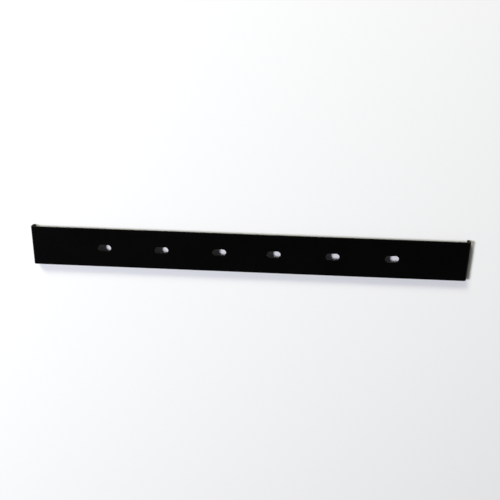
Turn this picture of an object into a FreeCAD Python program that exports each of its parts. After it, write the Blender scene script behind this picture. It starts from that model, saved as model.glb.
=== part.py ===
import FreeCAD, Part
import math
import os

# Tool rail for a slotted steel panel: one blank of sheet steel, folded back at both ends, with a hook
# tab on each end flange and a row of obround slots along the plate.
#
# Frame, in millimetres: +X runs along the rail, +Y goes into the wall and +Z is up. The origin lies on
# the face of the panel, half way along the rail, level with the lower ends of the panel's slots, which
# the two hook tabs sit on.

# Panel that the rail hangs on
PANEL_THICKNESS = 0.9
PANEL_SLOT_HEIGHT = 25.4

# Folded sheet
HOOK_SPACING = 355.6  # between the middles of the end flanges, 14 columns of panel slots
SHEET = 1.5
BEND_RADIUS = 1.0  # inside of each fold
STANDOFF = 7.0  # from the panel's face to the front of the plate
PLATE_RISE = 0.6  # from the upper ends of the panel's slots up to the plate's upper edge
PLATE_DROP = 7.3  # from the hooks' seat down to the plate's lower edge

# Obround slots along the plate
SLOTS_EACH_SIDE = 3
SLOT_WIDTH = 5.6
SLOT_TRAVEL = 5.5  # between the centres of a slot's two round ends
MIDDLE_SLOT_SPACING = 44.45
SLOT_PITCH = 47.625

# Hook tabs
NIB_DROP = 3.2  # how far the nib hangs down behind the panel
NIB_DEPTH = 3.4
PANEL_CLEARANCE = 0.5  # between the panel's back and the nib
ENTRY_CLEARANCE = 0.8  # spare height as the tab goes through its slot

# Corners of the blank and its deburred edges
LEAD_IN_RADIUS = 3.0
NIB_RADIUS = 1.0
ROOT_RADIUS = 0.4
FLANGE_CORNER_RADIUS = 1.0
EDGE_ROUND = 0.25
SLOT_CHAMFER = 0.25

# Working values
OVERCUT = 5.0  # how far a cutting solid runs past what it trims
ARC_SHARE = 0.45  # most that one corner's arc takes of an edge with an arc at each end
LEAD_IN_SHARE = 0.85  # most that the lead-in arc takes of the tab's upper edge
SHARP_ANGLE = 10.0  # degrees between two faces that meet at an edge to be rounded


def plate_bottom():
    """Height of the plate's lower edge."""
    return -PLATE_DROP


def plate_top():
    """Height of the plate's upper edge."""
    return PANEL_SLOT_HEIGHT + PLATE_RISE


def rounded_face(corners):
    """Plane face inside a closed outline, given as (point, corner radius) pairs in order."""
    edges = []
    last_end = None
    first_start = None
    count = len(corners)
    for index, (point, radius) in enumerate(corners):
        before = (corners[index - 1][0] - point).normalize()
        after = (corners[(index + 1) % count][0] - point).normalize()
        half_angle = before.getAngle(after) / 2
        tangent_length = radius / math.tan(half_angle)
        start = point + before * tangent_length
        end = point + after * tangent_length
        if last_end is not None:
            edges.append(Part.LineSegment(last_end, start).toShape())
        if radius > 0:
            bisector = (before + after).normalize()
            middle = point + bisector * (radius / math.sin(half_angle) - radius)
            edges.append(Part.Arc(start, middle, end).toShape())
        if first_start is None:
            first_start = start
        last_end = end
    edges.append(Part.LineSegment(last_end, first_start).toShape())
    return Part.Face(Part.Wire(edges))


def folded_channel():
    """The sheet folded back at both ends, as a tall prism that the side outline trims."""
    outer = HOOK_SPACING / 2 + SHEET / 2
    inner = outer - SHEET
    front = -STANDOFF
    back = PANEL_THICKNESS + PANEL_CLEARANCE + NIB_DEPTH + OVERCUT
    outer_radius = BEND_RADIUS + SHEET
    level = plate_bottom() - OVERCUT
    height = plate_top() - plate_bottom() + 2 * OVERCUT
    outline = [
        (FreeCAD.Vector(-outer, back, level), 0),
        (FreeCAD.Vector(-outer, front, level), outer_radius),
        (FreeCAD.Vector(outer, front, level), outer_radius),
        (FreeCAD.Vector(outer, back, level), 0),
        (FreeCAD.Vector(inner, back, level), 0),
        (FreeCAD.Vector(inner, front + SHEET, level), BEND_RADIUS),
        (FreeCAD.Vector(-inner, front + SHEET, level), BEND_RADIUS),
        (FreeCAD.Vector(-inner, back, level), 0),
    ]
    return rounded_face(outline).extrude(FreeCAD.Vector(0, 0, height))


def side_outline():
    """The blank seen from the end: plate and flange at full height, and the hook tab behind them."""
    side = -HOOK_SPACING / 2 - SHEET - OVERCUT
    front = -STANDOFF - OVERCUT
    nib_front = PANEL_THICKNESS + PANEL_CLEARANCE
    nib_back = nib_front + NIB_DEPTH
    tab_top = PANEL_SLOT_HEIGHT - ENTRY_CLEARANCE - NIB_DROP
    root_radius = min(ROOT_RADIUS, ARC_SHARE * nib_front)
    nib_radius = min(NIB_RADIUS, ARC_SHARE * NIB_DEPTH)
    lead_in_radius = min(LEAD_IN_RADIUS, LEAD_IN_SHARE * nib_back)
    outline = [
        (FreeCAD.Vector(side, front, plate_bottom()), 0),
        (FreeCAD.Vector(side, 0, plate_bottom()), FLANGE_CORNER_RADIUS),
        (FreeCAD.Vector(side, 0, 0), root_radius),
        (FreeCAD.Vector(side, nib_front, 0), root_radius),
        (FreeCAD.Vector(side, nib_front, -NIB_DROP), nib_radius),
        (FreeCAD.Vector(side, nib_back, -NIB_DROP), nib_radius),
        (FreeCAD.Vector(side, nib_back, tab_top), lead_in_radius),
        (FreeCAD.Vector(side, 0, tab_top), root_radius),
        (FreeCAD.Vector(side, 0, plate_top()), FLANGE_CORNER_RADIUS),
        (FreeCAD.Vector(side, front, plate_top()), 0),
    ]
    return rounded_face(outline).extrude(FreeCAD.Vector(-2 * side, 0, 0))


def obround_cut(middle_x):
    """Cutter for one slot through the plate."""
    end_radius = SLOT_WIDTH / 2
    front = -STANDOFF - OVERCUT
    level = (plate_bottom() + plate_top()) / 2
    left = middle_x - SLOT_TRAVEL / 2
    right = middle_x + SLOT_TRAVEL / 2
    left_low = FreeCAD.Vector(left, front, level - end_radius)
    left_end = FreeCAD.Vector(left - end_radius, front, level)
    left_high = FreeCAD.Vector(left, front, level + end_radius)
    right_low = FreeCAD.Vector(right, front, level - end_radius)
    right_end = FreeCAD.Vector(right + end_radius, front, level)
    right_high = FreeCAD.Vector(right, front, level + end_radius)
    curves = [
        Part.LineSegment(left_low, right_low),
        Part.Arc(right_low, right_end, right_high),
        Part.LineSegment(right_high, left_high),
        Part.Arc(left_high, left_end, left_low),
    ]
    face = Part.Face(Part.Wire([curve.toShape() for curve in curves]))
    return face.extrude(FreeCAD.Vector(0, SHEET + 2 * OVERCUT, 0))


def slot_middles():
    """Places of the slots along the plate, in pairs about its middle."""
    middles = []
    for step in range(SLOTS_EACH_SIDE):
        middle_x = MIDDLE_SLOT_SPACING / 2 + step * SLOT_PITCH
        middles += [-middle_x, middle_x]
    return middles


def is_sharp(edge, shape):
    """Whether the two faces that meet along an edge stand at an angle there."""
    faces = shape.ancestorsOfType(edge, Part.Face)
    if len(faces) != 2:
        return False
    middle = edge.valueAt((edge.FirstParameter + edge.LastParameter) / 2)
    normals = []
    for face in faces:
        u, v = face.Surface.parameter(middle)
        normals.append(face.normalAt(u, v))
    return normals[0].getAngle(normals[1]) > math.radians(SHARP_ANGLE)


def rounded_edges(sheet_body):
    """The folded sheet with every cut edge of its outline rounded over."""
    sharp_edges = [edge for edge in sheet_body.Edges if is_sharp(edge, sheet_body)]
    return sheet_body.makeFillet(min(EDGE_ROUND, ARC_SHARE * SHEET), sharp_edges)


def slot_rims(sheet_body):
    """Edges of the slots on both faces of the plate: the only openings inside a face."""
    rims = []
    for face in sheet_body.Faces:
        for wire in face.Wires:
            if not wire.isSame(face.OuterWire):
                rims += wire.Edges
    return rims


def tool_rail():
    """The finished rail: sheet folded and trimmed to its outline, edges rounded, slots cut and deburred."""
    rail = folded_channel().common(side_outline())
    rail = rounded_edges(rail)
    for middle_x in slot_middles():
        rail = rail.cut(obround_cut(middle_x))
    return rail.makeChamfer(min(SLOT_CHAMFER, ARC_SHARE * SHEET), slot_rims(rail))


os.makedirs("parts", exist_ok=True)
rail = tool_rail()
rail.exportStep("parts/tool_rail.step")
box = rail.BoundBox
print("tool_rail", rail.isValid(), len(rail.Solids), "solid,", round(rail.Volume), "mm3")
print("size", round(box.XLength, 2), round(box.YLength, 2), round(box.ZLength, 2))
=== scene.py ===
"""Looks of a folded sheet-steel tool rail in black powder coat, hung on a pale studio wall.

Everything is in metres, in the rail's own frame: +X along the rail, +Y into the wall, +Z up, with the
origin on the wall's face, half way along the rail, level with the seat of its hook tabs.
"""
import logging
import math
from dataclasses import dataclass, field
from enum import Enum

import bmesh
import bpy
from mathutils import Matrix, Vector


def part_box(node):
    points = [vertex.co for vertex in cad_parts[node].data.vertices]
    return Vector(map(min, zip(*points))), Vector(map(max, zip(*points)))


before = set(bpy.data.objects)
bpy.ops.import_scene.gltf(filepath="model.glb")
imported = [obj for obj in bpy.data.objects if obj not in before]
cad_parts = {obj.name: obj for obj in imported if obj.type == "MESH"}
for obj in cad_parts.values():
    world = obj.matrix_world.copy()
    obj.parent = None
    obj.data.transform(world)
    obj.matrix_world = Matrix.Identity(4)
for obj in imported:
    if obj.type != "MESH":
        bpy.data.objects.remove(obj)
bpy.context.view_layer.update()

LOG = logging.getLogger("tool_rail")
MM = 0.001

Colour = tuple[float, float, float]
Number = float | bpy.types.NodeSocket
Tint = Colour | bpy.types.NodeSocket


class Step(Enum):
    """Arithmetic steps of the shaders."""

    ADD = "ADD"
    SUBTRACT = "SUBTRACT"
    MULTIPLY = "MULTIPLY"
    DIVIDE = "DIVIDE"
    LARGER = "MAXIMUM"


class LampShape(Enum):
    """Outline of a soft lamp's face."""

    PANEL = "RECTANGLE"
    OVAL = "ELLIPSE"


class ShaderTree:
    """A node tree with short ways to add and join its nodes."""

    def __init__(self, tree: bpy.types.NodeTree) -> None:
        """Keeps the tree and empties it.

        Args:
            tree: the material's, world's or group's node tree.
        """
        self.tree = tree
        tree.nodes.clear()

    def add(self, kind: str, **settings: object) -> bpy.types.Node:
        """Adds a node and sets its properties.

        Args:
            kind: the node's type name.
            settings: properties of the node, by name.

        Returns:
            The new node.
        """
        node = self.tree.nodes.new(kind)
        for name, value in settings.items():
            setattr(node, name, value)
        return node

    def use(self, group: bpy.types.NodeTree, **values: float) -> bpy.types.Node:
        """Places a shader group with its own values.

        Args:
            group: the group.
            values: the group's inputs, by name in small letters with underscores for spaces.

        Returns:
            The group's node.
        """
        node = self.add("ShaderNodeGroup", node_tree=group)
        for name, value in values.items():
            node.inputs[name.replace("_", " ").title()].default_value = value
        return node

    def join(self, source: bpy.types.NodeSocket, target: bpy.types.NodeSocket) -> None:
        """Links an output to an input."""
        self.tree.links.new(source, target)

    def feed(self, target: bpy.types.NodeSocket, value: Number) -> None:
        """Gives an input a number, or links an output to it.

        Args:
            target: the input.
            value: a number or an output.
        """
        if isinstance(value, bpy.types.NodeSocket):
            self.join(value, target)
        else:
            target.default_value = value

    def step(self, kind: Step, first: Number, second: Number) -> bpy.types.NodeSocket:
        """Adds one arithmetic step.

        Args:
            kind: what is done with the two numbers.
            first: a number or an output.
            second: a number or an output.

        Returns:
            The result.
        """
        node = self.add("ShaderNodeMath", operation=kind.value)
        self.feed(node.inputs[0], first)
        self.feed(node.inputs[1], second)
        return node.outputs[0]

    def noise(self, size: Number, octaves: float, fineness: float) -> bpy.types.NodeSocket:
        """Adds a noise that is fixed to the object.

        Args:
            size: length of its waves.
            octaves: how many finer layers lie on the first.
            fineness: strength of the finer layers.

        Returns:
            The noise, about 0.3 to 0.7.
        """
        node = self.add("ShaderNodeTexNoise", noise_dimensions="3D")
        self.join(self.add("ShaderNodeTexCoord").outputs["Object"], node.inputs["Vector"])
        self.join(self.step(Step.DIVIDE, 1.0, size), node.inputs["Scale"])
        node.inputs["Detail"].default_value = octaves
        node.inputs["Roughness"].default_value = fineness
        return node.outputs["Fac"]

    def spread(self, mask: bpy.types.NodeSocket, low: float, high: float) -> bpy.types.NodeSocket:
        """Maps a mask onto a range of numbers.

        Args:
            mask: the mask, 0 to 1.
            low: result where the mask is 0.
            high: result where the mask is 1.

        Returns:
            The mapped number.
        """
        node = self.add("ShaderNodeMapRange")
        self.join(mask, node.inputs["Value"])
        node.inputs["To Min"].default_value = low
        node.inputs["To Max"].default_value = high
        return node.outputs["Result"]

    def rise(self, value: bpy.types.NodeSocket, start: float, end: float) -> bpy.types.NodeSocket:
        """Turns a value into a mask that rises smoothly from 0 to 1.

        Args:
            value: the value.
            start: level where the mask leaves 0.
            end: level where the mask reaches 1.

        Returns:
            The mask.
        """
        node = self.add("ShaderNodeMapRange", interpolation_type="SMOOTHSTEP")
        self.join(value, node.inputs["Value"])
        node.inputs["From Min"].default_value = start
        node.inputs["From Max"].default_value = end
        return node.outputs["Result"]

    def blend(self, share: bpy.types.NodeSocket, first: Tint, second: Tint) -> bpy.types.NodeSocket:
        """Mixes two colours.

        Args:
            share: how much of the second colour there is.
            first: a colour or an output.
            second: a colour or an output.

        Returns:
            The mixed colour.
        """
        node = self.add("ShaderNodeMix", data_type="RGBA")
        self.join(share, node.inputs["Factor"])
        colour_inputs = [socket for socket in node.inputs if socket.type == "RGBA"]
        for target, tint in zip(colour_inputs, (first, second)):
            self.feed(target, (*tint, 1.0) if isinstance(tint, tuple) else tint)
        return next(socket for socket in node.outputs if socket.type == "RGBA")


class ShaderGroup(ShaderTree):
    """A shader node group with named inputs and outputs, built once and placed in materials."""

    def __init__(self, name: str, inputs: dict[str, float], outputs: tuple[str, ...]) -> None:
        """Makes the empty group and its sockets, all of them numbers.

        Args:
            name: the group's name.
            inputs: each input's default, by name.
            outputs: names of the outputs.
        """
        super().__init__(bpy.data.node_groups.new(name, "ShaderNodeTree"))
        sockets = self.tree.interface
        for label, default in inputs.items():
            socket = sockets.new_socket(label, in_out="INPUT", socket_type="NodeSocketFloat")
            socket.default_value = default
        for label in outputs:
            sockets.new_socket(label, in_out="OUTPUT", socket_type="NodeSocketFloat")
        self.inputs = self.add("NodeGroupInput").outputs
        self.outputs = self.add("NodeGroupOutput").inputs


def coat_grain_group() -> bpy.types.NodeTree:
    """Builds the relief of a powder coat: long soft waves with fine grit on them.

    Returns:
        The group, with inputs Wave Size, Grit Size and Grit Share, and outputs Height and Grit. Grit is
        the mask of the grit's tops, which the coat uses for its roughness and for the painted shade and
        sparkle in its colour.
    """
    defaults = {"Wave Size": 1.2 * MM, "Grit Size": 0.3 * MM, "Grit Share": 0.35}
    group = ShaderGroup("coat_grain", defaults, ("Height", "Grit"))
    waves = group.noise(group.inputs["Wave Size"], octaves=1.0, fineness=0.4)
    grit = group.noise(group.inputs["Grit Size"], octaves=2.0, fineness=0.6)
    bumps = group.step(Step.MULTIPLY, grit, group.inputs["Grit Share"])
    group.join(group.step(Step.ADD, waves, bumps), group.outputs["Height"])
    group.join(group.rise(grit, start=0.35, end=0.65), group.outputs["Grit"])
    return group.tree


def coat_drift_group() -> bpy.types.NodeTree:
    """Builds the slow change of a coat from one patch to the next.

    Returns:
        The group, with input Patch Size and output Drift, from 0 to 1.
    """
    group = ShaderGroup("coat_drift", {"Patch Size": 30 * MM}, ("Drift",))
    patches = group.noise(group.inputs["Patch Size"], octaves=3.0, fineness=0.5)
    group.join(group.rise(patches, start=0.3, end=0.7), group.outputs["Drift"])
    return group.tree


def edge_wear_and_highlight_group() -> bpy.types.NodeTree:
    """Builds the mask of the edges where the coat is lightened, in stretches. This is partly wear, where
    a coat pulls thin and is rubbed first, and partly a painted highlight of the edges.

    Returns:
        The group, with inputs Width and Patch Size, and one output, the mask of edge wear and painted
        highlight, from 0 to 1.
    """
    gentle_turn, full_turn = (1.0 - math.cos(math.radians(angle)) for angle in (8.0, 28.0))
    group = ShaderGroup("edge_rub", {"Width": 0.4 * MM, "Patch Size": 4 * MM}, ("Wear And Highlight",))
    rounded = group.add("ShaderNodeBevel", samples=8)
    group.join(group.inputs["Width"], rounded.inputs["Radius"])
    agreement = group.add("ShaderNodeVectorMath", operation="DOT_PRODUCT")
    group.join(rounded.outputs["Normal"], agreement.inputs[0])
    group.join(group.add("ShaderNodeNewGeometry").outputs["Normal"], agreement.inputs[1])
    turn = group.step(Step.SUBTRACT, 1.0, agreement.outputs["Value"])
    edge = group.rise(turn, start=gentle_turn, end=full_turn)
    patches = group.noise(group.inputs["Patch Size"], octaves=3.0, fineness=0.6)
    wear_and_highlight_stretches = group.rise(patches, start=0.35, end=0.7)
    # Mask of the edges' wear and painted highlight, broken into stretches.
    group.join(group.step(Step.MULTIPLY, edge, wear_and_highlight_stretches), group.outputs["Wear And Highlight"])
    return group.tree


@dataclass(frozen=True)
class CoatEffects:
    """The shader groups that a powder coat is made of.

    Attributes:
        grain: relief and grit.
        drift: slow change of tone.
        rub: mask of the edges where the coat is lightened, partly as wear and partly as a painted
            highlight.
    """

    grain: bpy.types.NodeTree
    drift: bpy.types.NodeTree
    rub: bpy.types.NodeTree

    @classmethod
    def build(cls) -> "CoatEffects":
        """Builds the groups once."""
        return cls(coat_grain_group(), coat_drift_group(), edge_wear_and_highlight_group())


@dataclass(frozen=True)
class PowderCoat:
    """Black powder coat, baked on over deburred steel.

    Attributes:
        colour: darkest tone of the coat, found in its dark patches and, as painted shade, in the hollows
            of its grit.
        faded_and_sparkle_tone: lightest tone of the coat, found in its light patches and, as painted
            sparkle, on the tops of its grit.
        edge_wear_and_highlight_tone: tone of the lightened edges. It is partly wear, where the coat is
            rubbed thin, and partly a painted highlight.
        roughness_low: roughness between the grit.
        roughness_high: roughness on the grit.
        specular: strength of the reflections.
        wave_size: length of the soft waves.
        grit_size: length of the fine grit.
        grit_share: height of the grit against that of the waves.
        relief: height of the whole relief.
        patch_size: length of the slow change of tone.
        drift_share: part of the change of tone that is slow and random. The rest follows the grit, as
            painted shade in its hollows and painted sparkle on its tops.
        edge_wear_and_highlight_width: how far from an edge the coat is lightened by wear and painted
            highlight.
        edge_wear_and_highlight_patch_size: length of the lightened stretches along the edges.
    """

    colour: Colour = (0.0004, 0.0004, 0.0004)
    faded_and_sparkle_tone: Colour = (0.0014, 0.0014, 0.0014)
    # Edge tone: partly wear, partly a painted highlight of the edges.
    edge_wear_and_highlight_tone: Colour = (0.012, 0.012, 0.012)
    roughness_low: float = 0.32
    roughness_high: float = 0.42
    specular: float = 0.012
    wave_size: float = 1.2 * MM
    grit_size: float = 0.3 * MM
    grit_share: float = 0.35
    relief: float = 0.08 * MM
    patch_size: float = 30 * MM
    drift_share: float = 0.4
    edge_wear_and_highlight_width: float = 0.4 * MM
    edge_wear_and_highlight_patch_size: float = 4 * MM

    def material(self, effects: CoatEffects) -> bpy.types.Material:
        """Builds the coat's material.

        Args:
            effects: the groups that give its relief and the painted shade and sparkle of its grit, its
                slow change, and its edges, lightened partly by wear and partly by a painted highlight.

        Returns:
            The material.
        """
        material = bpy.data.materials.new("powder_coat")
        material.use_nodes = True
        tree = ShaderTree(material.node_tree)
        surface = tree.add("ShaderNodeBsdfPrincipled")
        surface.inputs["Specular IOR Level"].default_value = self.specular
        grain = tree.use(
            effects.grain, wave_size=self.wave_size, grit_size=self.grit_size, grit_share=self.grit_share
        )
        drift = tree.use(effects.drift, patch_size=self.patch_size)
        edge_wear_and_highlight_node = tree.use(effects.rub, width=self.edge_wear_and_highlight_width, patch_size=self.edge_wear_and_highlight_patch_size)
        slow = tree.step(Step.MULTIPLY, drift.outputs["Drift"], self.drift_share)
        grit_shade_and_sparkle = tree.step(Step.MULTIPLY, grain.outputs["Grit"], 1.0 - self.drift_share)
        # Slow random patches of tone, and tone that follows the grit: painted shade in its hollows and
        # painted sparkle on its tops.
        coat = tree.blend(tree.step(Step.ADD, slow, grit_shade_and_sparkle), self.colour, self.faded_and_sparkle_tone)
        # Edges lightened, partly as wear and partly as a painted highlight.
        tree.join(tree.blend(edge_wear_and_highlight_node.outputs["Wear And Highlight"], coat, self.edge_wear_and_highlight_tone), surface.inputs["Base Color"])
        roughness = tree.spread(grain.outputs["Grit"], self.roughness_low, self.roughness_high)
        tree.join(roughness, surface.inputs["Roughness"])
        bump = tree.add("ShaderNodeBump")
        bump.inputs["Distance"].default_value = self.relief
        tree.join(grain.outputs["Height"], bump.inputs["Height"])
        tree.join(bump.outputs["Normal"], surface.inputs["Normal"])
        tree.join(surface.outputs["BSDF"], tree.add("ShaderNodeOutputMaterial").inputs["Surface"])
        return material


@dataclass(frozen=True)
class WallPaint:
    """Matt white of the wall and floor, clear from behind.

    Attributes:
        colour: tone of the paint.
    """

    colour: Colour = (0.916, 0.92, 0.934)

    def material(self) -> bpy.types.Material:
        """Builds the paint's material.

        Returns:
            The material.
        """
        material = bpy.data.materials.new("wall_paint")
        material.use_nodes = True
        tree = ShaderTree(material.node_tree)
        paint = tree.add("ShaderNodeBsdfDiffuse")
        paint.inputs["Color"].default_value = (*self.colour, 1.0)
        clear = tree.add("ShaderNodeBsdfTransparent")
        choice = tree.add("ShaderNodeMixShader")
        tree.join(tree.add("ShaderNodeNewGeometry").outputs["Backfacing"], choice.inputs["Fac"])
        tree.join(paint.outputs["BSDF"], choice.inputs[1])
        tree.join(clear.outputs["BSDF"], choice.inputs[2])
        tree.join(choice.outputs["Shader"], tree.add("ShaderNodeOutputMaterial").inputs["Surface"])
        return material


@dataclass(frozen=True)
class SoftLamp:
    """A lamp with an even face that looks at one point.

    Attributes:
        name: the lamp's name.
        azimuth_deg: where it stands round the point: 0 in front of the wall, 90 to the right.
        elevation_deg: how far up it stands from the point's level.
        distance: how far it stands from the point.
        size: width and height of its face.
        power: its power in watts.
        colour: tint of its light.
        shape: outline of its face.
    """

    name: str
    azimuth_deg: float
    elevation_deg: float
    distance: float
    size: tuple[float, float]
    power: float
    colour: Colour = (1.0, 1.0, 1.0)
    shape: LampShape = LampShape.PANEL

    def place(self, aim: Vector) -> bpy.types.Object:
        """Adds the lamp to the scene.

        Args:
            aim: the point that it looks at.

        Returns:
            The lamp.
        """
        light = bpy.data.lights.new(self.name, "AREA")
        light.shape = self.shape.value
        light.size = self.size[0]
        light.size_y = self.size[1]
        light.energy = self.power
        light.color = self.colour
        lamp = bpy.data.objects.new(self.name, light)
        bpy.context.scene.collection.objects.link(lamp)
        azimuth = math.radians(self.azimuth_deg)
        elevation = math.radians(self.elevation_deg)
        away = Vector((
            math.sin(azimuth) * math.cos(elevation),
            -math.cos(azimuth) * math.cos(elevation),
            math.sin(elevation),
        ))
        lamp.location = aim + away * self.distance
        lamp.rotation_euler = away.to_track_quat("Z", "Y").to_euler()
        lamp.visible_camera = False
        LOG.info("%s placed", self.name)
        return lamp


@dataclass
class Studio:
    """Wall, floor, lamps and surroundings.

    Attributes:
        half_width: half the width of the wall and floor.
        wall_top: height of the wall's upper edge.
        floor_level: height of the floor.
        floor_depth: how far the floor runs out in front of the wall.
        cove_radius: radius of the curve between wall and floor.
        cove_steps: number of strips in that curve.
        ambient: strength of the even light from all sides.
        white: brightness of the surroundings to the camera and in reflections.
        paint: finish of the wall and floor.
        key: main lamp, low on the left.
        overhead: lamp above it, which casts the shade under the rail.
        back: lamp behind the wall, which lights the rail's rear.
    """

    half_width: float = 2.0
    wall_top: float = 1.3
    floor_level: float = -0.8
    floor_depth: float = 3.0
    cove_radius: float = 0.25
    cove_steps: int = 24
    ambient: float = 0.062
    white: float = 0.97
    paint: WallPaint = field(default_factory=WallPaint)
    key: SoftLamp = SoftLamp(
        name="key_light",
        azimuth_deg=-40.5,
        elevation_deg=11.0,
        distance=2.9,
        size=(0.48, 0.7),
        power=80.5,
        colour=(0.912, 0.92, 1.0),
    )
    overhead: SoftLamp = SoftLamp(
        name="overhead_light",
        azimuth_deg=-35.0,
        elevation_deg=52.0,
        distance=3.4,
        size=(1.1, 0.85),
        power=68.6,
        colour=(1.0, 0.99, 0.78),
    )
    back: SoftLamp = SoftLamp(
        name="back_light",
        azimuth_deg=160.0,
        elevation_deg=4.0,
        distance=1.5,
        size=(1.7, 1.2),
        power=60.0,
        shape=LampShape.OVAL,
    )

    def section(self) -> list[tuple[float, float]]:
        """Works out the section of wall, cove and floor.

        Returns:
            Points (y, z) from the top of the wall to the floor's front edge.
        """
        centre_y = -self.cove_radius
        centre_z = self.floor_level + self.cove_radius
        points = [(0.0, self.wall_top)]
        for step in range(self.cove_steps + 1):
            angle = math.radians(90.0) * step / self.cove_steps
            y = centre_y + self.cove_radius * math.cos(angle)
            z = centre_z - self.cove_radius * math.sin(angle)
            points.append((y, z))
        points.append((-self.floor_depth, self.floor_level))
        return points

    def build_backdrop(self) -> bpy.types.Object:
        """Builds the wall, which curves into the floor.

        Returns:
            The backdrop.
        """
        mesh = bpy.data.meshes.new("studio_wall")
        sheet = bmesh.new()
        rows = []
        for y, z in self.section():
            rows.append([sheet.verts.new((x, y, z)) for x in (-self.half_width, self.half_width)])
        for upper, lower in zip(rows, rows[1:]):
            face = sheet.faces.new((upper[0], lower[0], lower[1], upper[1]))
            face.smooth = True
        sheet.to_mesh(mesh)
        sheet.free()
        mesh.materials.append(self.paint.material())
        wall = bpy.data.objects.new("studio_wall", mesh)
        bpy.context.scene.collection.objects.link(wall)
        wall.visible_shadow = False
        wall.visible_diffuse = False
        LOG.info("studio_wall built")
        return wall

    def build_surroundings(self) -> None:
        """Lights the scene evenly from all sides, and looks white to the camera and in reflections."""
        world = bpy.data.worlds.new("surroundings")
        world.use_nodes = True
        bpy.context.scene.world = world
        tree = ShaderTree(world.node_tree)
        ray = tree.add("ShaderNodeLightPath").outputs
        seen = tree.step(Step.LARGER, ray["Is Camera Ray"], ray["Is Glossy Ray"])
        seen = tree.step(Step.LARGER, seen, ray["Is Transmission Ray"])
        extra = tree.step(Step.MULTIPLY, seen, self.white - self.ambient)
        glow = tree.add("ShaderNodeBackground")
        glow.inputs["Color"].default_value = (1.0, 1.0, 1.0, 1.0)
        tree.join(tree.step(Step.ADD, extra, self.ambient), glow.inputs["Strength"])
        tree.join(glow.outputs["Background"], tree.add("ShaderNodeOutputWorld").inputs["Surface"])
        LOG.info("surroundings built")

    def build(self, aim: Vector) -> None:
        """Builds the whole studio.

        Args:
            aim: the point that the lamps look at.
        """
        self.build_backdrop()
        self.build_surroundings()
        for lamp in (self.key, self.overhead, self.back):
            lamp.place(aim)


@dataclass(frozen=True)
class StudioCamera:
    """Camera in front of the rail, a little to its right, looking down on it.

    The lens is held less steep than the rail lies below it, and the picture's frame is shifted down
    to the rail, so the rail's ends lean as little as they should.

    Attributes:
        place: where the camera stands.
        heading_deg: turn to the right from looking straight at the wall.
        pitch_deg: turn upwards from level.
        roll_deg: turn against the clock, as seen from behind the camera.
        lens_mm: focal length.
        sensor_mm: width of the sensor.
        frame_shift: upward shift of the frame, as a share of its width.
        nearest: nearest distance that the camera shows.
    """

    place: tuple[float, float, float] = (0.01964, -0.39, 0.18482)
    heading_deg: float = -2.681
    pitch_deg: float = -15.828
    roll_deg: float = 1.106
    lens_mm: float = 36.831
    sensor_mm: float = 36.0
    frame_shift: float = -0.15
    nearest: float = 10 * MM

    def build(self) -> bpy.types.Object:
        """Adds the camera and makes it the scene's own.

        Returns:
            The camera.
        """
        data = bpy.data.cameras.new("studio_camera")
        data.sensor_fit = "HORIZONTAL"
        data.sensor_width = self.sensor_mm
        data.lens = self.lens_mm
        data.shift_y = self.frame_shift
        data.clip_start = self.nearest
        camera = bpy.data.objects.new("studio_camera", data)
        bpy.context.scene.collection.objects.link(camera)
        turn = (
            Matrix.Rotation(math.radians(-self.heading_deg), 4, "Z")
            @ Matrix.Rotation(math.radians(90.0 + self.pitch_deg), 4, "X")
            @ Matrix.Rotation(math.radians(self.roll_deg), 4, "Z")
        )
        camera.matrix_world = Matrix.Translation(Vector(self.place)) @ turn
        bpy.context.scene.camera = camera
        LOG.info("studio_camera placed")
        return camera


@dataclass
class ToolRail:
    """The folded rail. Its shape is the CAD node's own.

    Attributes:
        node: name of the CAD node.
        coat: finish of the whole rail.
    """

    node: str = "tool_rail"
    coat: PowderCoat = field(default_factory=PowderCoat)

    def dress(self, effects: CoatEffects) -> bpy.types.Object:
        """Gives the rail its finish.

        Args:
            effects: the groups that its coat is made of.

        Returns:
            The rail.
        """
        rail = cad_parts[self.node]
        coat = self.coat.material(effects)
        for finish in rail.material_slots:
            finish.material = coat
        LOG.info("%s dressed in powder coat", self.node)
        return rail

    def middle(self) -> Vector:
        """Returns the middle of the rail's box."""
        low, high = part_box(self.node)
        return (low + high) / 2


def main() -> None:
    """Builds the camera, the rail's looks and the studio."""
    logging.basicConfig(level=logging.INFO)
    bpy.context.scene.view_settings.view_transform = "Standard"
    StudioCamera().build()
    rail = ToolRail()
    rail.dress(CoatEffects.build())
    Studio().build(rail.middle())


if __name__ == "__main__":
    main()
